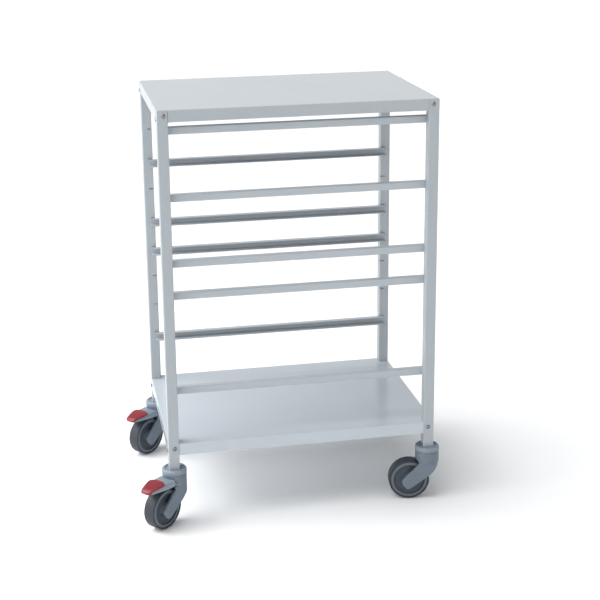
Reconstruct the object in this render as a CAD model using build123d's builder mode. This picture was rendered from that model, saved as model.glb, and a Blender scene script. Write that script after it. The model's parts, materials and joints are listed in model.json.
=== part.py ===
"""Food service trolley: a bolted square-tube frame with a flat top tray, a bottom shelf, five pairs of
channel runners hooked into slotted posts, and four swivel casters, two of them with a foot brake.

Units are millimetres and +Z is up. The origin is on the floor, in the middle of the whole footprint with
the casters as they stand. +X runs along the runners to the right and +Y runs to the rear.
"""
import math
import os

from build123d import *

os.makedirs("parts", exist_ok=True)

# ---------------------------------------------------------------- driving dimensions: frame
WIDTH = 650.0               # over the posts, along the runners
DEPTH = 455.0               # over the posts, front to rear
HEIGHT = 998.0              # floor to the top tray's upper face
FRAME_X = 28.80             # frame's centre, measured from the middle of the footprint
FRAME_Y = 22.13

POST = 25.0                 # square tube, outside
POST_WALL = 1.5
POST_RADIUS = 2.0
POST_FOOT = 135.0           # where a post stands on its caster collar

SHEET = 1.5                 # tray and shelf sheet
FOLD_RADIUS = 1.2
TRAY_LIP = 27.0
TRAY_CORNER = 4.0
SHELF_TOP = 201.0
SHELF_LIP = 28.5
SHEET_GAP = 0.3             # between a lip and the post beside it

# ---------------------------------------------------------------- driving dimensions: runners
LEVEL_COUNT = 9             # slot levels in each post
LEVEL_DROP = 42.8           # top tray's upper face down to the first slot level
LEVEL_PITCH = 77.8
RAIL_LEVELS = [0, 2, 4, 5, 8]
RAIL_HEIGHT = 17.0
RAIL_SHEET = 1.2
RAIL_HOLD_DOWN = 16.0       # upper flange
RAIL_LEDGE = 26.0           # lower flange, which carries the tray
RAIL_OVERLAP = 11.0         # of a rail's end on the post's inner face
RAIL_MITRE = 8.0
HOOK_WIDTH = 9.0
HOOK_REACH = 4.0            # of the hook through the post's wall
SLOT_WIDTH = 12.0
SLOT_DEPTH = 8.0
SLOT_HEIGHT = 2.0

# ---------------------------------------------------------------- driving dimensions: fasteners
SCREW_RADIUS = 3.0
SCREW_HOLE = 3.3
SCREW_LENGTH = 34.0
HEAD_RADIUS = 5.25
HEAD_HEIGHT = 3.0
HEAD_EDGE = 0.6             # upright edge of a screw's domed head
HEAD_DOME = (0.66, 0.76)    # a point on the dome, as shares of the head's radius and height
SOCKET_FLATS = 4.0
SOCKET_DEPTH = 1.8
NUT_FLATS = 10.0
NUT_HEIGHT = 5.0
NUT_BORE = 3.02
SCREW_INSET = 14.5          # from a post's outer corner
SCREW_DROP_FRONT = 12.5     # below the sheet's upper face, screws along Y
SCREW_DROP_SIDE = 22.0      # below the sheet's upper face, screws along X
BRACKET = 2.0               # corner bracket's sheet
BRACKET_LEG = 21.0
BRACKET_HEIGHT = 28.0

# ---------------------------------------------------------------- driving dimensions: casters
WHEEL_RADIUS = 50.0
WHEEL_WIDTH = 32.0
TRAIL = 44.8                # swivel axis to wheel axis
COLLAR_RADIUS = 29.8
COLLAR_FOOT = 125.5
COLLAR_RIM = 137.5
COLLAR_EDGE = 0.8
COLLAR_ROUND = 5.5
DISH_RADIUS = 21.0
DISH_SLOPE = 2.0
HEAD_TOP = 125.0            # top of the turning fork
HEAD_OUTER = 29.2
HEAD_FOOT = 97.0            # underside of the fork's round head
HEAD_SKIRT = 101.0          # where the legs run into the head
HEAD_CHAMFER = 0.8
FORK_HALF = 26.0            # outside of a fork leg
FORK_GAP = 18.0             # inside of a fork leg
LEG_ROUND = 2.5
LEG_THROAT = (22.0, 94.0)   # points of a leg's side outline: along the trail, above the floor
LEG_SHOULDER = (62.5, 53.5)
LEG_NOSE = (63.6, 46.0)
LEG_CHIN = (58.0, 36.5)
LEG_TOE = (52.0, 29.5)
LEG_SOLE = (44.0, 29.0)
LEG_HEEL = (7.5, 55.0)
LEG_BACK = (-16.0, 77.0)
WHEEL_ROOM = 54.0           # radius of the space for the wheel inside the fork
STEM_RADIUS = 6.0
STEM_BORE = 6.5
STEM_TOP = 172.0
RIVET_RADIUS = 10.0         # head of the stem under the fork
RIVET_FOOT = 106.0
RIVET_TOP = 109.5
RIVET_ROOM = 11.5
RIVET_GAP = 0.5
PLUG_ROUND = 0.6
FIT = 0.05                  # radial clearance of a running fit
RACE_OUTER = 18.0
RACE_FLOOR = 119.5
AXLE_RADIUS = 5.0
AXLE_HALF = 23.0
BEARING_OUTER = 11.0
BEARING_WIDTH = 8.0
BEARING_INSET = 0.5
HUB_HALF = 17.5             # half widths and radii of the wheel's core
HUB_OUTER = 15.5
WEB_INNER = (17.5, 9.5)
WEB_OUTER = (38.5, 8.5)
RIM_INNER = 40.5
RIM_HALF = 14.6
RIM_RADIUS = 45.4
SHOULDER_RADIUS = 48.0      # tyre's shoulder
SHOULDER_INSET = 2.4
CROWN_INSET = 6.0
CROWN_DROP = 0.5
PEDAL_PIVOT = (17.0, 111.0)  # along the trail, above the floor
PIN_RADIUS = 2.5
PIN_HALF = 23.5
CHEEK_LOW = (13.0, 88.0)    # opening in the fork's head for the lever's root
CHEEK_HIGH = (45.0, 117.5)
CHEEK_HALF = 19.5
LEVER_WALL = 2.5
LEVER_HALF = 23.0
LEVER_TAPER = 8.0           # each side narrows by this towards the free end
LEVER_END = 95.0
LEVER_NEAR = 26.0
LEVER_TOP = 117.8
LEVER_KNEE = (52.0, 117.6)
LEVER_END_TOP = 111.5
LEVER_END_FOOT = 106.0
LEVER_BELLY = (60.0, 103.5)
LEVER_FOOT = 102.5
LEVER_CEILING = 108.5       # of the hollow over the wheel
HEAD_CLEARANCE = 2.5        # between the lever and the fork's round head
ROOT_END = 40.0
ROOT_TOP = 115.5
ROOT_HALF_HEIGHT = 5.0
ROOT_NOSE = 3.5
SHOE_START = 40.2
SHOE_END = 48.0
SHOE_FOOT = 104.4
SHOE_TOP = 108.4
SHOE_HALF = 12.0
TREAD_START = 54.0
TREAD_END = 106.0
TREAD_FOOT = 117.9
TREAD_TOP = 121.0
TREAD_SLOPE = (72.0, 120.6)
TREAD_BROW = (92.0, 117.5)
TREAD_CURL = (101.0, 115.0)
TREAD_TIP = 109.5
TREAD_LIP = 104.0
TREAD_LIP_INSET = 2.0
TREAD_GAP = 0.3
TREAD_WAIST = (80.0, 18.5)  # half widths of the tread along the trail
TREAD_NECK = (98.0, 14.5)
TREAD_CORNER = (103.5, 12.5)
TREAD_NOSE_HALF = 7.5
UNDER_LEVER = 90.0          # plane below everything of the lever
OVER_LEVER = 130.0

CORNERS = {
    "front_left": (-1, -1),
    "front_right": (1, -1),
    "rear_left": (-1, 1),
    "rear_right": (1, 1),
}
TRAIL_HEADING = {           # which way each caster trails, in degrees from +X
    "front_left": 222.0,
    "front_right": 172.0,
    "rear_left": 220.0,
    "rear_right": 172.0,
}
BRAKED = ["front_left", "rear_left"]


# ---------------------------------------------------------------- planes and helpers
def level(height):
    """Horizontal plane at a height, centred on the frame."""
    return Plane(origin=(FRAME_X, FRAME_Y, height), z_dir=(0, 0, 1))


def post_plane(corner, height):
    """Horizontal plane at a height, centred on one post."""
    side, end = CORNERS[corner]
    x = FRAME_X + side * (WIDTH - POST) / 2
    y = FRAME_Y + end * (DEPTH - POST) / 2
    return Plane(origin=(x, y, height), z_dir=(0, 0, 1))


def caster_plane(corner, height=0.0):
    """Horizontal plane on a caster's swivel axis, its x along the trail."""
    heading = math.radians(TRAIL_HEADING[corner])
    centre = post_plane(corner, height).origin
    return Plane(origin=centre, x_dir=(math.cos(heading), math.sin(heading), 0), z_dir=(0, 0, 1))


def trail_plane(corner):
    """Upright plane through a caster: x along the trail, y up, z along the axle."""
    heading = math.radians(TRAIL_HEADING[corner])
    centre = post_plane(corner, 0.0).origin
    return Plane(
        origin=centre,
        x_dir=(math.cos(heading), math.sin(heading), 0),
        z_dir=(math.sin(heading), -math.cos(heading), 0),
    )


def axle_plane(corner):
    """The trail plane moved to the wheel's centre."""
    upright = trail_plane(corner)
    return Plane(
        origin=upright.from_local_coords((TRAIL, WHEEL_RADIUS, 0)),
        x_dir=upright.x_dir,
        z_dir=upright.z_dir,
    )


def ring_plane(corner):
    """Plane through the wheel's centre that holds its axis: x outward, y along the axle."""
    upright = axle_plane(corner)
    return Plane(origin=upright.origin, x_dir=upright.x_dir, z_dir=(0, 0, -1))


def save(part, name):
    part.label = name
    export_step(part, f"parts/{name}.step")


def slot_level(index):
    return HEIGHT - LEVEL_DROP - index * LEVEL_PITCH


def screw_seats():
    """Every frame screw: the plane of the face under its head, with z outward."""
    seats = []
    for sheet_top in (HEIGHT, SHELF_TOP):
        for side, end in CORNERS.values():
            inset_x = FRAME_X + side * (WIDTH / 2 - SCREW_INSET)
            inset_y = FRAME_Y + end * (DEPTH / 2 - SCREW_INSET)
            face_x = FRAME_X + side * WIDTH / 2
            face_y = FRAME_Y + end * DEPTH / 2
            front_place = (inset_x, face_y, sheet_top - SCREW_DROP_FRONT)
            side_place = (face_x, inset_y, sheet_top - SCREW_DROP_SIDE)
            seats.append(Plane(origin=front_place, x_dir=(1, 0, 0), z_dir=(0, end, 0)))
            seats.append(Plane(origin=side_place, x_dir=(0, 1, 0), z_dir=(side, 0, 0)))
    return seats


# ---------------------------------------------------------------- frame
def make_post(corner):
    side, end = CORNERS[corner]
    length = HEIGHT - SHEET - POST_FOOT
    foot = post_plane(corner, POST_FOOT)
    with BuildPart() as post:
        with BuildSketch(foot):
            RectangleRounded(POST, POST, POST_RADIUS)
            RectangleRounded(POST - 2 * POST_WALL, POST - 2 * POST_WALL, POST_RADIUS - POST_WALL,
                             mode=Mode.SUBTRACT)
        extrude(amount=length)
        for index in range(LEVEL_COUNT):
            with BuildSketch(post_plane(corner, slot_level(index) - RAIL_SHEET)):
                with Locations((-side * (POST - SLOT_WIDTH) / 2, -end * (POST - SLOT_DEPTH) / 2)):
                    Rectangle(SLOT_WIDTH, SLOT_DEPTH)
            extrude(amount=SLOT_HEIGHT, mode=Mode.SUBTRACT)
        for seat in screw_seats():
            offset = seat.origin - foot.origin
            if math.hypot(offset.X, offset.Y) < POST:
                with BuildSketch(seat):
                    Circle(SCREW_HOLE)
                extrude(amount=-POST, mode=Mode.SUBTRACT)
    save(post.part, f"post_{corner}")


def make_top_tray():
    lip_x = WIDTH - 2 * POST - 2 * SHEET_GAP
    lip_y = DEPTH - 2 * POST - 2 * SHEET_GAP
    with BuildPart() as top_tray:
        with BuildSketch(level(HEIGHT - SHEET)):
            RectangleRounded(WIDTH, DEPTH, TRAY_CORNER)
        extrude(amount=SHEET)
        with BuildSketch(level(HEIGHT - TRAY_LIP)):
            with GridLocations(0, DEPTH - SHEET, 1, 2):
                Rectangle(lip_x, SHEET)
            with GridLocations(WIDTH - SHEET, 0, 2, 1):
                Rectangle(SHEET, lip_y)
        extrude(amount=TRAY_LIP - SHEET)
        fillet(top_tray.faces().sort_by(Axis.Z)[-1].outer_wire().edges(), FOLD_RADIUS)
    save(top_tray.part, "top_tray")


def make_bottom_shelf():
    notch = POST + SHEET_GAP
    with BuildPart() as bottom_shelf:
        with BuildSketch(level(SHELF_TOP - SHEET)):
            Rectangle(WIDTH, DEPTH)
            with GridLocations(WIDTH - notch, DEPTH - notch, 2, 2):
                Rectangle(notch, notch, mode=Mode.SUBTRACT)
        extrude(amount=SHEET)
        with BuildSketch(level(SHELF_TOP - SHELF_LIP)):
            with GridLocations(0, DEPTH - SHEET, 1, 2):
                Rectangle(WIDTH - 2 * notch, SHEET)
            with GridLocations(WIDTH - SHEET, 0, 2, 1):
                Rectangle(SHEET, DEPTH - 2 * notch)
        extrude(amount=SHELF_LIP - SHEET)
        rim = bottom_shelf.faces().sort_by(Axis.Z)[-1].outer_wire().edges()
        long_edges = rim.filter_by(lambda edge: edge.length > 2 * notch)
        fillet(long_edges, FOLD_RADIUS)
    save(bottom_shelf.part, "bottom_shelf")


def make_corner_brackets(name, sheet_top):
    """Four welded angles under a sheet, each hugging the two inner faces of its post."""
    with BuildPart() as brackets:
        for corner, (side, end) in CORNERS.items():
            with BuildSketch(post_plane(corner, sheet_top - SHEET - BRACKET_HEIGHT)):
                inner = POST / 2 + BRACKET / 2
                along = POST / 2 + BRACKET - BRACKET_LEG / 2
                with Locations((-side * along, -end * inner)):
                    Rectangle(BRACKET_LEG, BRACKET)
                with Locations((-side * inner, -end * along)):
                    Rectangle(BRACKET, BRACKET_LEG)
            extrude(amount=BRACKET_HEIGHT)
        for seat in screw_seats():
            if abs(seat.origin.Z - sheet_top) < BRACKET_HEIGHT:
                with BuildSketch(seat):
                    Circle(SCREW_HOLE)
                extrude(amount=-(POST + 2 * BRACKET), mode=Mode.SUBTRACT)
    save(brackets.part, name)


def make_frame_screws():
    with BuildPart() as frame_screws:
        for seat in screw_seats():
            upright = Plane(origin=seat.origin, x_dir=seat.x_dir, z_dir=seat.y_dir)
            with BuildSketch(upright):
                with BuildLine():
                    Polyline((0, SCREW_LENGTH), (SCREW_RADIUS, SCREW_LENGTH), (SCREW_RADIUS, 0),
                             (HEAD_RADIUS, 0), (HEAD_RADIUS, -HEAD_EDGE))
                    dome_point = (HEAD_RADIUS * HEAD_DOME[0], -HEAD_HEIGHT * HEAD_DOME[1])
                    ThreePointArc((HEAD_RADIUS, -HEAD_EDGE), dome_point, (0, -HEAD_HEIGHT))
                    Line((0, -HEAD_HEIGHT), (0, SCREW_LENGTH))
                make_face()
            revolve(axis=Axis(seat.origin, seat.z_dir))
            with BuildSketch(seat.offset(HEAD_HEIGHT - SOCKET_DEPTH)):
                RegularPolygon(SOCKET_FLATS / 2, 6, major_radius=False)
            extrude(amount=HEAD_HEIGHT, mode=Mode.SUBTRACT)
    save(frame_screws.part, "frame_screws")


def make_frame_nuts():
    with BuildPart() as frame_nuts:
        for seat in screw_seats():
            with BuildSketch(seat.offset(-(POST + BRACKET))):
                RegularPolygon(NUT_FLATS / 2, 6, major_radius=False)
                Circle(NUT_BORE, mode=Mode.SUBTRACT)
            extrude(amount=-NUT_HEIGHT)
    save(frame_nuts.part, "frame_nuts")


# ---------------------------------------------------------------- runners
def make_rail(name, end, index):
    """Channel runner on the front (end = -1) or rear (end = 1) posts, its flanges towards the trays."""
    web_face = FRAME_Y + end * (DEPTH / 2 - POST)
    top = slot_level(index)
    length = WIDTH - 2 * POST + 2 * RAIL_OVERLAP
    section = Plane(
        origin=(FRAME_X - length / 2, web_face, top),
        x_dir=(0, -end, 0),
        z_dir=(-end, 0, 0),
    )
    up = section.to_local_coords(Vector(FRAME_X - length / 2, web_face, top + 1)).Y
    with BuildPart() as rail:
        with BuildSketch(section):
            with BuildLine():
                Polyline((0, 0), (RAIL_HOLD_DOWN, 0), (RAIL_HOLD_DOWN, -up * RAIL_SHEET),
                         (RAIL_SHEET, -up * RAIL_SHEET), (RAIL_SHEET, -up * (RAIL_HEIGHT - RAIL_SHEET)),
                         (RAIL_LEDGE, -up * (RAIL_HEIGHT - RAIL_SHEET)), (RAIL_LEDGE, -up * RAIL_HEIGHT),
                         (0, -up * RAIL_HEIGHT), (0, 0))
            make_face()
        extrude(amount=length if end < 0 else -length)
        flange_tips = rail.edges().filter_by(Axis.Z).filter_by(
            lambda edge: abs(edge.center().Y - web_face) > RAIL_HOLD_DOWN / 2
        )
        chamfer(flange_tips, RAIL_MITRE)
        with BuildSketch(Plane(origin=(FRAME_X, web_face, top - RAIL_SHEET), z_dir=(0, 0, 1))):
            with GridLocations(length - HOOK_WIDTH, 0, 2, 1):
                with Locations((0, end * HOOK_REACH / 2)):
                    Rectangle(HOOK_WIDTH, HOOK_REACH)
        extrude(amount=RAIL_SHEET)
    save(rail.part, name)


# ---------------------------------------------------------------- casters
def make_collar(corner):
    """Fixed round cup on top of a caster that a post stands in."""
    upright = trail_plane(corner)
    bore = STEM_RADIUS + FIT
    wall_top = (COLLAR_RADIUS, COLLAR_RIM - COLLAR_ROUND)
    rim_edge = (COLLAR_RADIUS - COLLAR_ROUND, COLLAR_RIM)
    with BuildPart() as collar:
        with BuildSketch(upright):
            with BuildLine():
                Polyline((bore, COLLAR_FOOT), (COLLAR_RADIUS - COLLAR_EDGE, COLLAR_FOOT),
                         (COLLAR_RADIUS, COLLAR_FOOT + COLLAR_EDGE), wall_top)
                RadiusArc(wall_top, rim_edge, -COLLAR_ROUND)
                Polyline(rim_edge, (DISH_RADIUS + DISH_SLOPE, COLLAR_RIM), (DISH_RADIUS, POST_FOOT),
                         (bore, POST_FOOT), (bore, COLLAR_FOOT))
            make_face()
        revolve(axis=Axis(upright.origin, (0, 0, 1)))
    save(collar.part, f"caster_collar_{corner}")


def make_caster_stems():
    """Steel pins that the forks turn on, each riveted over below its fork's head."""
    with BuildPart() as caster_stems:
        for corner in CORNERS:
            with BuildSketch(caster_plane(corner, RIVET_FOOT)):
                Circle(RIVET_RADIUS)
            extrude(amount=RIVET_TOP - RIVET_FOOT)
            with BuildSketch(caster_plane(corner, RIVET_TOP)):
                Circle(STEM_RADIUS)
            extrude(amount=STEM_TOP - RIVET_TOP)
    save(caster_stems.part, "caster_stems")


def make_post_plugs():
    """Square plugs that hold the stems in the feet of the posts."""
    width = POST - 2 * POST_WALL - 2 * FIT
    with BuildPart() as post_plugs:
        for corner in CORNERS:
            with BuildSketch(post_plane(corner, POST_FOOT)):
                RectangleRounded(width, width, PLUG_ROUND)
                Circle(STEM_RADIUS + FIT, mode=Mode.SUBTRACT)
            extrude(amount=STEM_TOP - POST_FOOT)
    save(post_plugs.part, "post_plugs")


def make_race(corner):
    with BuildPart() as race:
        with BuildSketch(caster_plane(corner, RACE_FLOOR)):
            Circle(RACE_OUTER)
            Circle(STEM_RADIUS + FIT, mode=Mode.SUBTRACT)
        extrude(amount=HEAD_TOP - RACE_FLOOR)
    save(race.part, f"swivel_race_{corner}")


def make_fork(corner):
    upright = trail_plane(corner)
    with BuildPart() as fork:
        # Both legs as one block with the fork's side outline, then cut to its plan outline.
        with BuildSketch(upright):
            with BuildLine():
                Polyline((-HEAD_OUTER, HEAD_SKIRT), (LEG_THROAT[0] + 2, HEAD_SKIRT), LEG_THROAT, LEG_SHOULDER)
                ThreePointArc(LEG_SHOULDER, LEG_NOSE, LEG_CHIN)
                ThreePointArc(LEG_CHIN, LEG_TOE, LEG_SOLE)
                Line(LEG_SOLE, LEG_HEEL)
                ThreePointArc(LEG_HEEL, LEG_BACK, (-HEAD_OUTER, HEAD_SKIRT))
            make_face()
        extrude(amount=FORK_HALF, both=True)
        with BuildSketch(caster_plane(corner)):
            Circle(HEAD_OUTER)
            with Locations((WHEEL_RADIUS, 0)):
                Rectangle(2 * WHEEL_RADIUS, 2 * FORK_HALF)
        extrude(amount=HEAD_TOP, mode=Mode.INTERSECT)
        leg_rims = fork.edges().filter_by(
            lambda edge: abs(abs(upright.to_local_coords(edge.center()).Z) - FORK_HALF) < 0.01
            and upright.to_local_coords(edge.center()).Y < LEG_THROAT[1] - LEG_ROUND
        )
        fillet(leg_rims, LEG_ROUND)
        with BuildSketch(caster_plane(corner, HEAD_FOOT)):
            Circle(HEAD_OUTER)
        extrude(amount=HEAD_TOP - HEAD_FOOT)
        chamfer(fork.faces().sort_by(Axis.Z)[-1].outer_wire().edges(), HEAD_CHAMFER)
        # Room for the wheel.
        with BuildSketch(upright):
            with Locations((TRAIL, WHEEL_RADIUS)):
                Circle(WHEEL_ROOM)
        extrude(amount=FORK_GAP, both=True, mode=Mode.SUBTRACT)
        # Seat of the swivel race, the stem's bore and the pocket of its rivet head.
        with BuildSketch(caster_plane(corner, RACE_FLOOR)):
            Circle(RACE_OUTER + FIT)
        extrude(amount=HEAD_TOP - RACE_FLOOR, mode=Mode.SUBTRACT)
        with BuildSketch(caster_plane(corner, LEG_BACK[1])):
            Circle(STEM_BORE)
        extrude(amount=HEAD_TOP - LEG_BACK[1], mode=Mode.SUBTRACT)
        with BuildSketch(caster_plane(corner, LEG_BACK[1])):
            Circle(RIVET_ROOM)
        extrude(amount=RIVET_TOP + RIVET_GAP - LEG_BACK[1], mode=Mode.SUBTRACT)
        # Blind bores for the axle.
        with BuildSketch(upright):
            with Locations((TRAIL, WHEEL_RADIUS)):
                Circle(AXLE_RADIUS + FIT)
        extrude(amount=AXLE_HALF + FIT, both=True, mode=Mode.SUBTRACT)
        if corner in BRAKED:
            with BuildSketch(upright):
                with Locations(((CHEEK_LOW[0] + CHEEK_HIGH[0]) / 2, (CHEEK_LOW[1] + CHEEK_HIGH[1]) / 2)):
                    Rectangle(CHEEK_HIGH[0] - CHEEK_LOW[0], CHEEK_HIGH[1] - CHEEK_LOW[1])
            extrude(amount=CHEEK_HALF, both=True, mode=Mode.SUBTRACT)
            with BuildSketch(upright):
                with Locations(PEDAL_PIVOT):
                    Circle(PIN_RADIUS + FIT)
            extrude(amount=PIN_HALF + RIVET_GAP, both=True, mode=Mode.SUBTRACT)
    save(fork.part, f"caster_fork_{corner}")


def make_axle(corner):
    with BuildPart() as axle:
        with BuildSketch(axle_plane(corner)):
            Circle(AXLE_RADIUS)
        extrude(amount=AXLE_HALF, both=True)
    save(axle.part, f"wheel_axle_{corner}")


def make_wheel(corner):
    plane = ring_plane(corner)
    axis = Axis(plane.origin, plane.y_dir)
    bore = BEARING_OUTER + FIT
    with BuildPart() as wheel_core:
        with BuildSketch(plane):
            half_outline = [(bore, HUB_HALF), (HUB_OUTER, HUB_HALF), WEB_INNER, WEB_OUTER,
                            (RIM_INNER, RIM_HALF), (RIM_RADIUS, RIM_HALF)]
            with BuildLine():
                Polyline(*half_outline, *[(radius, -half) for radius, half in reversed(half_outline)],
                         close=True)
            make_face()
        revolve(axis=axis)
    save(wheel_core.part, f"wheel_core_{corner}")

    half = WHEEL_WIDTH / 2
    seat = (RIM_RADIUS + FIT, half - 1)
    shoulder = (SHOULDER_RADIUS, half - SHOULDER_INSET)
    crown = (WHEEL_RADIUS - CROWN_DROP, half - CROWN_INSET)
    with BuildPart() as tyre:
        with BuildSketch(plane):
            with BuildLine():
                Line((seat[0], -seat[1]), seat)
                ThreePointArc(seat, shoulder, crown)
                ThreePointArc(crown, (WHEEL_RADIUS, 0), (crown[0], -crown[1]))
                ThreePointArc((crown[0], -crown[1]), (shoulder[0], -shoulder[1]), (seat[0], -seat[1]))
            make_face()
        revolve(axis=axis)
    save(tyre.part, f"tyre_{corner}")

    with BuildPart() as bearings:
        for side in (-1, 1):
            with BuildSketch(axle_plane(corner).offset(side * (HUB_HALF - BEARING_INSET))):
                Circle(BEARING_OUTER)
                Circle(AXLE_RADIUS + FIT, mode=Mode.SUBTRACT)
            extrude(amount=-side * BEARING_WIDTH)
    save(bearings.part, f"wheel_bearings_{corner}")


def make_brake_pin(corner):
    with BuildPart() as brake_pin:
        with BuildSketch(trail_plane(corner)):
            with Locations(PEDAL_PIVOT):
                Circle(PIN_RADIUS)
        extrude(amount=PIN_HALF, both=True)
    save(brake_pin.part, f"brake_pin_{corner}")


def lever_outline(inset):
    """Plan of the lever, which narrows towards its free end."""
    half = LEVER_HALF - inset
    end = LEVER_END - inset
    near = LEVER_NEAR - LEVER_WALL
    return [(near, -half), (TREAD_START, -half), (end, LEVER_TAPER - half), (end, half - LEVER_TAPER),
            (TREAD_START, half), (near, half)]


def make_brake_lever(corner):
    upright = trail_plane(corner)
    below = caster_plane(corner, UNDER_LEVER)
    pivot_x, pivot_z = PEDAL_PIVOT
    with BuildPart() as lever:
        with BuildSketch(upright):
            with BuildLine():
                Polyline((LEVER_NEAR, LEVER_FOOT), (LEVER_NEAR, LEVER_TOP), LEVER_KNEE,
                         (LEVER_END, LEVER_END_TOP), (LEVER_END, LEVER_END_FOOT), LEVER_BELLY, close=True)
            make_face()
        extrude(amount=LEVER_HALF, both=True)
        with BuildSketch(below):
            Polygon(*lever_outline(0), align=None)
            Circle(HEAD_OUTER + HEAD_CLEARANCE, mode=Mode.SUBTRACT)
        extrude(amount=OVER_LEVER - UNDER_LEVER, mode=Mode.INTERSECT)
        # Hollow underside over the wheel.
        with BuildSketch(below):
            Polygon(*lever_outline(LEVER_WALL), align=None)
        extrude(amount=LEVER_CEILING - UNDER_LEVER, mode=Mode.SUBTRACT)
        # Root between the fork's cheeks, bored for the pin.
        with BuildSketch(upright):
            with BuildLine():
                Polyline((pivot_x, pivot_z + ROOT_HALF_HEIGHT), (ROOT_END, ROOT_TOP),
                         (ROOT_END, LEVER_CEILING), (pivot_x, pivot_z - ROOT_HALF_HEIGHT))
                ThreePointArc((pivot_x, pivot_z - ROOT_HALF_HEIGHT), (pivot_x - ROOT_NOSE, pivot_z),
                              (pivot_x, pivot_z + ROOT_HALF_HEIGHT))
            make_face()
        extrude(amount=FORK_GAP, both=True)
        with BuildSketch(upright):
            with Locations(PEDAL_PIVOT):
                Circle(PIN_RADIUS + FIT)
        extrude(amount=FORK_GAP, both=True, mode=Mode.SUBTRACT)
    save(lever.part, f"brake_lever_{corner}")


def make_brake_shoe(corner):
    with BuildPart() as shoe:
        with BuildSketch(trail_plane(corner)):
            with Locations(((SHOE_START + SHOE_END) / 2, (SHOE_FOOT + SHOE_TOP) / 2)):
                Rectangle(SHOE_END - SHOE_START, SHOE_TOP - SHOE_FOOT)
        extrude(amount=SHOE_HALF, both=True)
    save(shoe.part, f"brake_shoe_{corner}")


def make_brake_tread(corner):
    """Red cap over the lever's free end, curled down over its edge."""
    with BuildPart() as tread:
        with BuildSketch(trail_plane(corner)):
            with BuildLine():
                Polyline((TREAD_START, TREAD_FOOT), (TREAD_START, TREAD_TOP), TREAD_SLOPE, TREAD_BROW)
                ThreePointArc(TREAD_BROW, TREAD_CURL, (TREAD_END, TREAD_TIP))
                Polyline((TREAD_END, TREAD_TIP), (TREAD_END - TREAD_LIP_INSET, TREAD_LIP),
                         (LEVER_END + TREAD_GAP, TREAD_LIP + 1), (LEVER_END + TREAD_GAP, LEVER_END_TOP + 0.4),
                         (TREAD_START, TREAD_FOOT))
            make_face()
        extrude(amount=LEVER_HALF, both=True)
        with BuildSketch(caster_plane(corner, UNDER_LEVER)):
            with BuildLine():
                Polyline((TREAD_START, -LEVER_HALF), (TREAD_START, LEVER_HALF), TREAD_WAIST, TREAD_NECK)
                ThreePointArc(TREAD_NECK, TREAD_CORNER, (TREAD_END, TREAD_NOSE_HALF))
                Line((TREAD_END, TREAD_NOSE_HALF), (TREAD_END, -TREAD_NOSE_HALF))
                ThreePointArc((TREAD_END, -TREAD_NOSE_HALF), (TREAD_CORNER[0], -TREAD_CORNER[1]),
                              (TREAD_NECK[0], -TREAD_NECK[1]))
                Polyline((TREAD_NECK[0], -TREAD_NECK[1]), (TREAD_WAIST[0], -TREAD_WAIST[1]),
                         (TREAD_START, -LEVER_HALF))
            make_face()
        extrude(amount=OVER_LEVER - UNDER_LEVER, mode=Mode.INTERSECT)
    save(tread.part, f"brake_tread_{corner}")


for corner_name in CORNERS:
    make_post(corner_name)
make_top_tray()
make_bottom_shelf()
make_corner_brackets("corner_brackets_top", HEIGHT)
make_corner_brackets("corner_brackets_bottom", SHELF_TOP)
make_frame_screws()
make_frame_nuts()
for number, slot in enumerate(RAIL_LEVELS, start=1):
    make_rail(f"rail_front_{number}", -1, slot)
    make_rail(f"rail_rear_{number}", 1, slot)
make_caster_stems()
make_post_plugs()
for corner_name in CORNERS:
    make_collar(corner_name)
    make_race(corner_name)
    make_fork(corner_name)
    make_axle(corner_name)
    make_wheel(corner_name)
for corner_name in BRAKED:
    make_brake_pin(corner_name)
    make_brake_lever(corner_name)
    make_brake_shoe(corner_name)
    make_brake_tread(corner_name)
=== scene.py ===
"""Looks of the food service trolley: powder-coated frame, hooked runners and four moulded swivel casters.

Shapes are written in millimetres and turned into metres when their mesh is made. Places come from the frame.
"""

import json
import math

import bmesh
import bpy
from mathutils import Matrix, Vector
from mathutils.geometry import tessellate_polygon


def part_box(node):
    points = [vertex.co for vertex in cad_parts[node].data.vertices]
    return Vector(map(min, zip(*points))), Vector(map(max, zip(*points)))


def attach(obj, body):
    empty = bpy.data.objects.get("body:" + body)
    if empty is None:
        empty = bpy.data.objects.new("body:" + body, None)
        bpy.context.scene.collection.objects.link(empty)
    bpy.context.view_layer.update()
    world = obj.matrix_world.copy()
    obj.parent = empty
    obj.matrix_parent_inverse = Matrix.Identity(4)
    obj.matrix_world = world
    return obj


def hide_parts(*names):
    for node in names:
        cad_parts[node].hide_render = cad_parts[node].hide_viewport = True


MM = 0.001

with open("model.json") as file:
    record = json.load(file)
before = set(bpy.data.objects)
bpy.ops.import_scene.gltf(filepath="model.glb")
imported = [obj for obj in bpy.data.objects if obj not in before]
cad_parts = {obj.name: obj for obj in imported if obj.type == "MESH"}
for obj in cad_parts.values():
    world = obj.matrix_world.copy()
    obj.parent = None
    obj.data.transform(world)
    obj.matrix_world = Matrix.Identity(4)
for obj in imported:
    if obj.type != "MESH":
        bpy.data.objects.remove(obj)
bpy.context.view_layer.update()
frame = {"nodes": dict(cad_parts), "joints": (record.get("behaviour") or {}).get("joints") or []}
joints = {joint["name"]: joint for joint in frame["joints"]}

CORNERS = ["front_left", "front_right", "rear_left", "rear_right"]
BRAKED = ["front_left", "rear_left"]

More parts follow.
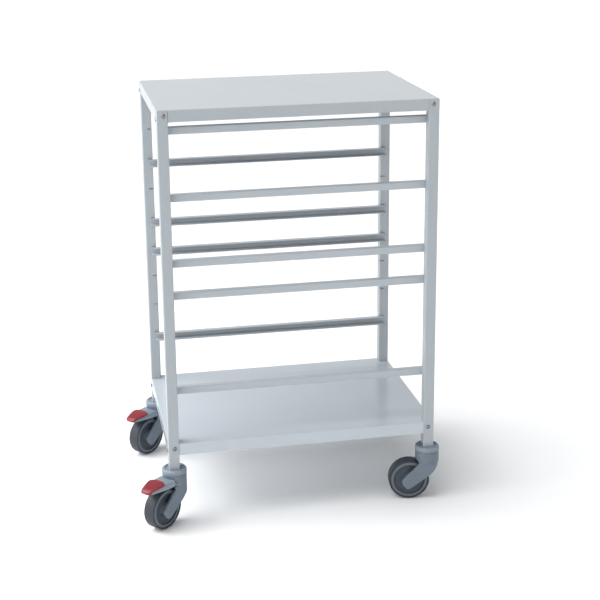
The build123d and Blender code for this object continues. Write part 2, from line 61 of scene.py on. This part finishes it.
# Lengths below are in millimetres.
HOOK_REACH = 4.0
HOOK_WIDTH = 9.0
RAIL_SHEET = 1.2
RAIL_INNER_BEND = 0.6
RAIL_HOLD_DOWN = 16.0       # upper flange of a runner
RAIL_MITRE = 8.0
ON_MITRE_LINE = 0.01        # how near to a mitre line a point counts as on it
HOOK_INSET = 0.1            # each face of a hook, inside the flange
WHEEL_RADIUS = 50.0
RIM_RADIUS = 45.4
HUB_BORE = 11.05
RIM_BAND = 38.2             # the core is coloured lighter outside this radius
HEAD_CLEAR = 31.7           # radius of the lever's near end, about the swivel axis
LEVER_HALF = 23.0
LEVER_END = 95.0
TREAD_START = 51.0
TREAD_END = 102.7
TREAD_BOW = [(TREAD_START, 8.0), (72, 1.5), (84, 0.0), (TREAD_END, -1.6)]    # rounds both ends in plan
ROOT_HALF = 18.0
PEDAL_PIVOT = (17.0, 111.0)
FORK_VOXEL = 0.0008         # metres
MOTTLING = 0.06             # share by which moulded colours drift


# ---------------------------------------------------------------- materials
def new_material(name):
    material = bpy.data.materials.new(name)
    material.use_nodes = True
    shader = material.node_tree.nodes["Principled BSDF"]
    return material, material.node_tree, shader


def object_space(tree):
    return tree.nodes.new("ShaderNodeTexCoord").outputs["Object"]


def noise(tree, scale, detail=2.0, stretch=(1, 1, 1)):
    """Noise in object space; scale is in features per metre."""
    mapping = tree.nodes.new("ShaderNodeMapping")
    mapping.inputs["Scale"].default_value = stretch
    tree.links.new(object_space(tree), mapping.inputs["Vector"])
    texture = tree.nodes.new("ShaderNodeTexNoise")
    texture.inputs["Scale"].default_value = scale
    texture.inputs["Detail"].default_value = detail
    tree.links.new(mapping.outputs["Vector"], texture.inputs["Vector"])
    return texture.outputs["Fac"]


def ramp(tree, value, stops):
    """Colour ramp through (position, colour or grey) stops."""
    node = tree.nodes.new("ShaderNodeValToRGB")
    elements = node.color_ramp.elements
    while len(elements) < len(stops):
        elements.new(0.5)
    for element, (position, colour) in zip(elements, stops):
        element.position = position
        element.color = (*colour, 1) if isinstance(colour, tuple) else (colour, colour, colour, 1)
    tree.links.new(value, node.inputs["Fac"])
    return node.outputs["Color"]


def shade(colour, factor):
    return tuple(min(1.0, channel * factor) for channel in colour)


def bump(tree, shader, height, depth):
    """Bump of a depth in metres."""
    node = tree.nodes.new("ShaderNodeBump")
    node.inputs["Distance"].default_value = depth
    tree.links.new(height, node.inputs["Height"])
    tree.links.new(node.outputs["Normal"], shader.inputs["Normal"])


def powder_coat(name, colour, gloss_low, gloss_high):
    """Sprayed powder coat: faint cloudy tone, orange-peel skin and a roughness that drifts with it."""
    material, tree, shader = new_material(name)
    cloud = noise(tree, 5.0, 2.0)
    tree.links.new(ramp(tree, cloud, [(0.3, shade(colour, 0.99)), (0.7, shade(colour, 1.01))]),
                   shader.inputs["Base Color"])
    tree.links.new(ramp(tree, noise(tree, 12.0, 3.0), [(0.3, gloss_low), (0.75, gloss_high)]),
                   shader.inputs["Roughness"])
    bump(tree, shader, noise(tree, 900.0, 1.0), 0.00003)
    return material


def moulded(name, colour, roughness, grain_depth):
    """Moulded plastic or rubber: fine spark-eroded grain and a faint flow mottle."""
    material, tree, shader = new_material(name)
    flow = noise(tree, 60.0, 3.0)
    tree.links.new(ramp(tree, flow, [(0.3, shade(colour, 1 - MOTTLING)), (0.7, shade(colour, 1 + MOTTLING))]),
                   shader.inputs["Base Color"])
    tree.links.new(ramp(tree, noise(tree, 250.0, 2.0), [(0.3, roughness - 0.05), (0.7, roughness + 0.07)]),
                   shader.inputs["Roughness"])
    bump(tree, shader, noise(tree, 1600.0, 2.0), grain_depth)
    return material


def metal(name, colour, roughness, stretch):
    """Bare or plated metal with fine tool marks along one direction."""
    material, tree, shader = new_material(name)
    shader.inputs["Metallic"].default_value = 1.0
    marks = noise(tree, 400.0, 3.0, stretch)
    tree.links.new(ramp(tree, marks, [(0.3, shade(colour, 0.85)), (0.7, shade(colour, 1.05))]),
                   shader.inputs["Base Color"])
    tree.links.new(ramp(tree, marks, [(0.3, roughness * 0.8), (0.7, roughness * 1.25)]),
                   shader.inputs["Roughness"])
    bump(tree, shader, marks, 0.00002)
    return material


MATERIALS = {
    "painted_steel": powder_coat("powder_coat_satin", (0.355, 0.39, 0.415), 0.36, 0.42),
    "sheet_steel": powder_coat("powder_coat_sheet", (0.36, 0.395, 0.42), 0.22, 0.26),
    # painted light: the shelf's coat is coloured lighter than the same coat on the tray, for the light it catches
    "shelf_steel_painted_light": powder_coat("powder_coat_shelf_painted_light", (0.455, 0.50, 0.54), 0.14, 0.17),
    "runner_steel": powder_coat("powder_coat_gloss", (0.385, 0.42, 0.45), 0.22, 0.26),
    "bright_screw": metal("zinc_plate", (0.27, 0.27, 0.27), 0.28, (1, 1, 1)),
    "stem_steel": metal("turned_steel", (0.30, 0.30, 0.31), 0.35, (1, 1, 8)),
    "plug_plastic": moulded("black_plastic", (0.02, 0.02, 0.022), 0.5, 0.00004),
    "caster_plastic": moulded("grey_plastic", (0.128, 0.16, 0.197), 0.36, 0.00004),
    # painted light: collar and lever take a lighter copy of the fork's grey plastic, standing in for the light on
    # their upper faces
    "caster_plastic_painted_light": moulded("grey_plastic_painted_light", (0.20, 0.245, 0.295), 0.33, 0.00004),
    "wheel_plastic": moulded("dark_plastic", (0.046, 0.059, 0.076), 0.5, 0.00004),
    "rim_plastic": moulded("rim_plastic", (0.10, 0.122, 0.148), 0.45, 0.00004),
    "tyre_rubber": moulded("tyre_rubber", (0.024, 0.031, 0.043), 0.55, 0.00006),
    "tread_red": moulded("red_plastic", (0.20, 0.011, 0.017), 0.38, 0.00004),
}

# The two sheets have finishes of their own: the shelf's coat is glossier than the tray's, and its lighter colour
# is painted light, standing in for the light and reflection the shelf catches.
SHEET_FINISH = {"top_tray": "sheet_steel", "bottom_shelf": "shelf_steel_painted_light"}
for name, node in frame["nodes"].items():
    for holder in node.material_slots:
        finish = SHEET_FINISH.get(name, holder.material.name.split(".")[0])
        holder.material = MATERIALS[finish]


# ---------------------------------------------------------------- mesh helpers
def rounded_outline(corners, steps=5):
    """Closed outline through (x, y, radius) corners, each with a radius turned into an arc."""
    points = []
    for index, (x, y, radius) in enumerate(corners):
        here = Vector((x, y))
        if radius == 0:
            points.append(here)
            continue
        back = (Vector(corners[index - 1][:2]) - here).normalized()
        ahead = (Vector(corners[(index + 1) % len(corners)][:2]) - here).normalized()
        half = back.angle(ahead) / 2
        centre = here + (back + ahead).normalized() * radius / math.sin(half)
        first = here + back * radius / math.tan(half) - centre
        sweep = first.angle_signed(here + ahead * radius / math.tan(half) - centre)
        for step in range(steps + 1):
            turn = Matrix.Rotation(-sweep * step / steps, 2)
            points.append(centre + turn @ first)
    return points


def bridge(bm, rings, close_loft=False, cap=False, material=None):
    """Faces between successive rings of vertices, all of the same length."""
    pairs = list(zip(rings, rings[1:])) + ([(rings[-1], rings[0])] if close_loft else [])
    for row, (ring, after) in enumerate(pairs):
        for index in range(len(ring)):
            beside = (index + 1) % len(ring)
            face = bm.faces.new((ring[index], ring[beside], after[beside], after[index]))
            if material:
                face.material_index = material(row)
    if cap:
        bm.faces.new(rings[0])
        bm.faces.new(reversed(rings[-1]))


def lathe(bm, outline, segments=96, material=None):
    """Closed (radius, height) outline turned about the local Z axis."""
    rings = []
    for radius, height in outline:
        ring = []
        for segment in range(segments):
            angle = 2 * math.pi * segment / segments
            ring.append(bm.verts.new((radius * math.cos(angle), radius * math.sin(angle), height)))
        rings.append(ring)
    bridge(bm, rings, close_loft=True, material=material)


def make_piece(name, bm, materials, body, replaces, place=Matrix(), sharp=40, subdivide=0):
    """Turns a mesh in local millimetres into a shown piece that rides on a body."""
    bmesh.ops.recalc_face_normals(bm, faces=bm.faces)
    mesh = bpy.data.meshes.new(name)
    bm.to_mesh(mesh)
    bm.free()
    mesh.transform(Matrix.Scale(MM, 4))
    for material in materials:
        mesh.materials.append(material)
    mesh.shade_smooth()
    mesh.set_sharp_from_angle(angle=math.radians(sharp))
    piece = bpy.data.objects.new(name, mesh)
    bpy.context.scene.collection.objects.link(piece)
    piece.matrix_world = place
    if subdivide:
        modifier = piece.modifiers.new("subdivision", "SUBSURF")
        modifier.levels = modifier.render_levels = subdivide
    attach(piece, body)
    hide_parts(*replaces)
    return piece


# ---------------------------------------------------------------- runners
def cap_section(outline, ledge, height):
    """A runner's section, pinched at its mitre lines so that no triangle of an end cap lies along a flange."""
    pinches = [(RAIL_HOLD_DOWN - RAIL_MITRE, -RAIL_SHEET / 2), (ledge - RAIL_MITRE, RAIL_SHEET / 2 - height)]
    section = []
    for depth, drop in outline:
        for mitre_line, sheet_middle in pinches:
            if abs(depth - mitre_line) < ON_MITRE_LINE and abs(drop - sheet_middle) < RAIL_SHEET:
                drop += (sheet_middle - drop) / 2
        section.append(Vector((depth, drop, 0)))
    return section


def make_rail(node):
    """Bent channel with mitred flanges and a hook at each end, its open side towards the bay."""
    low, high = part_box(node)
    towards_bay = 1 if node.startswith("rail_front") else -1
    hook_face = low.y if towards_bay > 0 else high.y
    web = hook_face / MM + towards_bay * HOOK_REACH
    middle, top, half = (low.x + high.x) / 2 / MM, high.z / MM, (high.x - low.x) / 2 / MM
    height = (high.z - low.z) / MM
    ledge = (high.y - low.y) / MM - HOOK_REACH
    bend = RAIL_SHEET + RAIL_INNER_BEND
    tip = 0.35
    outline = rounded_outline([
        (RAIL_HOLD_DOWN, 0, tip), (RAIL_HOLD_DOWN - RAIL_MITRE, 0, 0), (0, 0, bend), (0, -height, bend),
        (ledge - RAIL_MITRE, -height, 0), (ledge, -height, tip), (ledge, RAIL_SHEET - height, tip),
        (ledge - RAIL_MITRE, RAIL_SHEET - height, 0), (RAIL_SHEET, RAIL_SHEET - height, RAIL_INNER_BEND),
        (RAIL_SHEET, -RAIL_SHEET, RAIL_INNER_BEND), (RAIL_HOLD_DOWN - RAIL_MITRE, -RAIL_SHEET, 0),
        (RAIL_HOLD_DOWN, -RAIL_SHEET, tip),
    ], steps=4)
    bm = bmesh.new()
    rings = []
    for side in (-1, 1):
        ring = []
        for depth, drop in outline:
            flange = RAIL_HOLD_DOWN if drop > -height / 2 else ledge
            cut = max(0.0, depth - (flange - RAIL_MITRE))
            ring.append(bm.verts.new((middle + side * (half - cut), web + towards_bay * depth, top + drop)))
        rings.append(ring)
    bridge(bm, rings)
    for triangle in tessellate_polygon([cap_section(outline, ledge, height)]):
        for ring in rings:
            bm.faces.new([ring[index] for index in triangle])
    for side in (-1, 1):
        hook = rounded_outline([(0, RAIL_SHEET / 2, 0), (HOOK_WIDTH, RAIL_SHEET / 2, 0),
                                (HOOK_WIDTH, -HOOK_REACH, 1.5), (0, -HOOK_REACH, 1.5)], steps=4)
        layers = []
        for drop in (-HOOK_INSET, -RAIL_SHEET + HOOK_INSET):
            layers.append([bm.verts.new((middle + side * (half - inward), web + towards_bay * depth, top + drop))
                           for inward, depth in hook])
        bridge(bm, layers, cap=True)
    bmesh.ops.triangulate(bm, faces=[face for face in bm.faces if len(face.verts) > 4])
    make_piece(node.replace("rail", "runner"), bm, [MATERIALS["runner_steel"]], "frame",
               [node], sharp=35)


# ---------------------------------------------------------------- casters
def caster_place(corner):
    """Local frame of a caster: x along its trail, z up, origin on the floor below the swivel axis."""
    swivel = Vector(joints[f"swivel_{corner}"]["pos_m"])
    wheel = Vector(joints[f"wheel_{corner}"]["pos_m"])
    trail = Vector((wheel.x - swivel.x, wheel.y - swivel.y, 0)).normalized()
    side = Vector((0, 0, 1)).cross(trail)
    place = Matrix((trail, side, (0, 0, 1))).transposed().to_4x4()
    place.translation = (swivel.x, swivel.y, 0)
    return place


def wheel_place(corner):
    """Local frame of a wheel: z along its axle, origin at its centre."""
    place = caster_place(corner) @ Matrix.Rotation(math.radians(90), 4, "X")
    place.translation = joints[f"wheel_{corner}"]["pos_m"]
    return place


def make_collar(corner):
    low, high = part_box(f"caster_collar_{corner}")
    radius, foot, rim = (high.x - low.x) / 2 / MM, low.z / MM, high.z / MM
    dish = rim - 2.5
    dish_radius = radius - 8.8
    outline = rounded_outline([
        (6.3, foot, 0), (radius - 0.6, foot, 0.6), (radius, foot + 0.9, 0.5), (radius, foot + 3.0, 0.4),
        (radius - 0.7, foot + 3.4, 0.3), (radius - 0.7, foot + 4.1, 0.3), (radius, foot + 4.5, 0.4),
        (radius, rim, 5.6), (dish_radius + 1.8, rim, 1.2), (dish_radius, dish, 1.0), (6.3, dish, 0),
    ])
    bm = bmesh.new()
    lathe(bm, outline, 128)
    place = Matrix.Translation(caster_place(corner).translation)
    make_piece(f"collar_cup_{corner}", bm, [MATERIALS["caster_plastic_painted_light"]], "frame",
               [f"caster_collar_{corner}"], place)


def make_fork(corner):
    """Fork with every moulded edge softened: the CAD solid remeshed finely and smoothed."""
    source = frame["nodes"][f"caster_fork_{corner}"]
    place = caster_place(corner)
    mesh = source.data.copy()
    mesh.transform(place.inverted())
    fork = bpy.data.objects.new(f"fork_moulding_{corner}", mesh)
    bpy.context.scene.collection.objects.link(fork)
    weld = fork.modifiers.new("weld", "WELD")
    weld.merge_threshold = 0.00001
    remesh = fork.modifiers.new("remesh", "REMESH")
    remesh.mode = "VOXEL"
    remesh.voxel_size = FORK_VOXEL
    smooth = fork.modifiers.new("smooth", "SMOOTH")
    smooth.factor = 0.5
    smooth.iterations = 8
    graph = bpy.context.evaluated_depsgraph_get()
    fine = bpy.data.meshes.new_from_object(fork.evaluated_get(graph))
    fork.modifiers.clear()
    fork.data = fine
    fine.name = fork.name
    fine.materials.clear()
    fine.materials.append(MATERIALS["caster_plastic"])
    fine.shade_smooth()
    fork.matrix_world = place
    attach(fork, f"swivel_{corner}")
    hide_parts(f"caster_fork_{corner}")


def mirrored(outline):
    """Closed outline from one half, (radius, height, fillet) corners listed from the middle outwards."""
    return outline + [(radius, -height, fillet) for radius, height, fillet in reversed(outline)]


def make_wheel(corner):
    """Wheel core with a stepped web and a proud rim, and the tyre with round shoulders."""
    place = wheel_place(corner)
    core = rounded_outline(mirrored([
        (RIM_RADIUS, 13.9, 0.8), (38.6, 14.8, 1.0), (37.2, 9.6, 1.4), (33.0, 8.8, 0.6), (32.2, 7.9, 0.6),
        (20.0, 8.4, 1.2), (16.6, 17.0, 1.2), (HUB_BORE, 17.5, 0.3),
    ]), steps=4)
    bm = bmesh.new()
    radii = [point.x for point in core]
    lathe(bm, core, 128, lambda row: 1 if min(radii[row], radii[(row + 1) % len(radii)]) > RIM_BAND else 0)
    make_piece(f"wheel_centre_{corner}", bm, [MATERIALS["wheel_plastic"], MATERIALS["rim_plastic"]],
               f"wheel_{corner}", [f"wheel_core_{corner}"], place)
    tyre = rounded_outline(mirrored([
        (WHEEL_RADIUS + 0.02, 2.0, 0), (WHEEL_RADIUS - 0.3, 13.5, 3.0), (47.6, 16.0, 1.6), (45.9, 15.4, 0.4),
        (45.5, 14.2, 0.2),
    ]), steps=6)
    bm = bmesh.new()
    lathe(bm, tyre, 128)
    make_piece(f"tyre_tread_{corner}", bm, [MATERIALS["tyre_rubber"]], f"wheel_{corner}",
               [f"tyre_{corner}"], place)


def along(stops, u):
    """Value at u of a chain of (u, value) stops, in straight lines between them."""
    for (start, first), (end, last) in zip(stops, stops[1:]):
        if u <= end:
            return first + (last - first) * max(0.0, (u - start) / (end - start))
    return stops[-1][1]


def make_lever(corner):
    """Brake lever: a hooded channel whose near end follows the round head of the fork, and its root."""
    half_width = [(24, LEVER_HALF), (TREAD_START, LEVER_HALF), (LEVER_END, LEVER_HALF - 8)]
    top = [(24, 118.0), (52, 117.6), (LEVER_END, 111.5)]
    foot = [(24, 102.5), (60, 103.5), (LEVER_END, 106)]
    wall, corner_radius, stations = 2.5, 3.0, 26
    bm = bmesh.new()
    rings = []
    for station in range(stations + 1):
        share = station / stations
        u_mid = HEAD_CLEAR + (LEVER_END - HEAD_CLEAR) * share
        half, high, low = along(half_width, u_mid), along(top, u_mid), along(foot, u_mid)
        section = rounded_outline([
            (-half, low, 0.5), (-half + 0.6, high, corner_radius), (half - 0.6, high, corner_radius),
            (half, low, 0.5), (half - wall, low, 0.5), (half - wall, high - wall, 1.5),
            (wall - half, high - wall, 1.5), (wall - half, low, 0.5),
        ], steps=5)
        ring = []
        for side, height in section:
            reach = math.sqrt(HEAD_CLEAR ** 2 - min(abs(side), LEVER_HALF) ** 2)
            crown = 0.8 * (1 - (side / half) ** 2)
            ring.append(bm.verts.new((reach + (LEVER_END - reach) * share, side, height + crown)))
        rings.append(ring)
    bridge(bm, rings, cap=True)
    pivot_u, pivot_z = PEDAL_PIVOT
    root = rounded_outline([
        (pivot_u - 4, pivot_z + 5, 4), (40, 115.5, 1), (40, 108.5, 1), (pivot_u - 4, pivot_z - 5, 4),
    ], steps=6)
    sides = [[bm.verts.new((u, side, z)) for u, z in root] for side in (-ROOT_HALF, ROOT_HALF)]
    bridge(bm, sides, cap=True)
    make_piece(f"pedal_lever_{corner}", bm, [MATERIALS["caster_plastic_painted_light"]], f"brake_{corner}",
               [f"brake_lever_{corner}"], caster_place(corner))


def make_tread(corner):
    """Tread: a thick red cap that follows the lever's top and curls down over its end."""
    # Distance from the swivel axis, height, half thickness and half width along the cap.
    path = [
        (TREAD_START, 119.2, 1.7, 22.6), (60, 119.1, 2.3, 23.2), (72, 117.9, 2.6, 21.4), (84, 116.1, 2.7, 18.4),
        (93, 114.3, 2.9, 15.9), (98.5, 112.2, 3.4, 14.6), (101.6, 109.5, 3.4, 13.6), (TREAD_END, 106.6, 2.6, 12.2),
    ]
    bm = bmesh.new()
    rings = []
    for index, (u, z, thick, half) in enumerate(path):
        ahead, behind = path[min(index + 1, len(path) - 1)], path[max(index - 1, 0)]
        run = Vector((ahead[0] - behind[0], ahead[1] - behind[1])).normalized()
        section = rounded_outline([
            (-half, -thick, 0.8), (-half, thick, 1.6), (-half / 2, thick, 0), (0, thick, 0), (half / 2, thick, 0),
            (half, thick, 1.6), (half, -thick, 0.8), (half / 2, -thick, 0), (0, -thick, 0), (-half / 2, -thick, 0),
        ], steps=4)
        ring = []
        for side, lift in section:
            crown = 0.9 * (1 - (side / half) ** 2) if lift > 0 else 0.0
            bow = along(TREAD_BOW, u) * (side / half) ** 4
            ring.append(bm.verts.new((u + bow - run.y * (lift + crown), side, z + run.x * (lift + crown))))
        rings.append(ring)
    bridge(bm, rings, cap=True)
    end_edges = [edge for edge in bm.edges if any(len(face.verts) > 4 for face in edge.link_faces)]
    bmesh.ops.bevel(bm, geom=end_edges, offset=0.9, segments=3, affect="EDGES", profile=0.5)
    make_piece(f"pedal_tread_{corner}", bm, [MATERIALS["tread_red"]], f"brake_{corner}",
               [f"brake_tread_{corner}"], caster_place(corner), sharp=60, subdivide=1)


for number in range(1, 6):
    make_rail(f"rail_front_{number}")
    make_rail(f"rail_rear_{number}")
for caster_corner in CORNERS:
    make_collar(caster_corner)
    make_fork(caster_corner)
    make_wheel(caster_corner)
for caster_corner in BRAKED:
    make_lever(caster_corner)
    make_tread(caster_corner)


# ---------------------------------------------------------------- floor, light and camera
def make_floor():
    """Plain pale floor, far wider than the picture."""
    mesh = bpy.data.meshes.new("floor")
    edge = 40.0
    corners = [(-edge, -edge, 0), (edge, -edge, 0), (edge, edge, 0), (-edge, edge, 0)]
    mesh.from_pydata(corners, [], [(0, 1, 2, 3)])
    floor = bpy.data.objects.new("floor", mesh)
    bpy.context.scene.collection.objects.link(floor)
    material, tree, shader = new_material("pale_floor")
    shader.inputs["Base Color"].default_value = (0.93, 0.93, 0.93, 1)
    shader.inputs["Roughness"].default_value = 0.9
    shader.inputs["Specular IOR Level"].default_value = 0.1
    mesh.materials.append(material)


def area_light(name, place, target, size, power):
    """Soft box at a place, aimed at a target."""
    data = bpy.data.lights.new(name, "AREA")
    data.shape = "RECTANGLE"
    data.size, data.size_y = size
    data.energy = power
    lamp = bpy.data.objects.new(name, data)
    lamp.location = place
    lamp.rotation_euler = (Vector(target) - Vector(place)).to_track_quat("-Z", "Y").to_euler()
    bpy.context.scene.collection.objects.link(lamp)


def far_light(name, towards, spread, power):
    """Distant soft light from a direction; spread is its apparent size in degrees."""
    data = bpy.data.lights.new(name, "SUN")
    data.energy = power
    data.angle = math.radians(spread)
    lamp = bpy.data.objects.new(name, data)
    lamp.rotation_euler = Vector(towards).to_track_quat("Z", "Y").to_euler()
    bpy.context.scene.collection.objects.link(lamp)


def make_sky():
    """Studio of pale walls: bright round the horizon, dimmer overhead."""
    world = bpy.data.worlds.new("studio")
    world.use_nodes = True
    tree = world.node_tree
    split = tree.nodes.new("ShaderNodeSeparateXYZ")
    tree.links.new(tree.nodes.new("ShaderNodeTexCoord").outputs["Generated"], split.inputs["Vector"])
    bright = ramp(tree, split.outputs["Z"], [(0.0, 1.0), (0.36, 0.95), (0.55, 0.26), (1.0, 0.24)])
    background = tree.nodes["Background"]
    background.inputs["Color"].default_value = (0.97, 0.985, 1, 1)
    tree.links.new(bright, background.inputs["Strength"])
    bpy.context.scene.world = world


def make_light():
    make_sky()
    far_light("overhead_key", (-0.42, 0.05, 0.90), 60, 2.6)
    far_light("front_fill", (-0.38, -0.86, 0.34), 35, 0.45)
    area_light("left_softbox", (-1.9, 0.1, 1.4), (0, 0, 0.6), (1.4, 1.4), 26)
    bpy.context.scene.view_settings.view_transform = "Standard"


def make_camera():
    """Camera a little to the left of the trolley, looking down on it."""
    yaw, pitch, roll = math.radians(-10.176), math.radians(-15.039), math.radians(0.796)
    data = bpy.data.cameras.new("camera")
    data.lens = 79.533
    data.shift_x, data.shift_y = 0.0418, -0.1198
    data.sensor_width = 36
    camera = bpy.data.objects.new("camera", data)
    turn = Matrix.Rotation(yaw, 4, "Z") @ Matrix.Rotation(pitch, 4, "X") @ Matrix.Rotation(roll, 4, "Y")
    camera.matrix_world = (Matrix.Translation((-0.5527, -3.0952, 1.5033)) @ turn
                           @ Matrix.Rotation(math.radians(90), 4, "X"))
    bpy.context.scene.collection.objects.link(camera)
    bpy.context.scene.camera = camera


make_floor()
make_light()
make_camera()
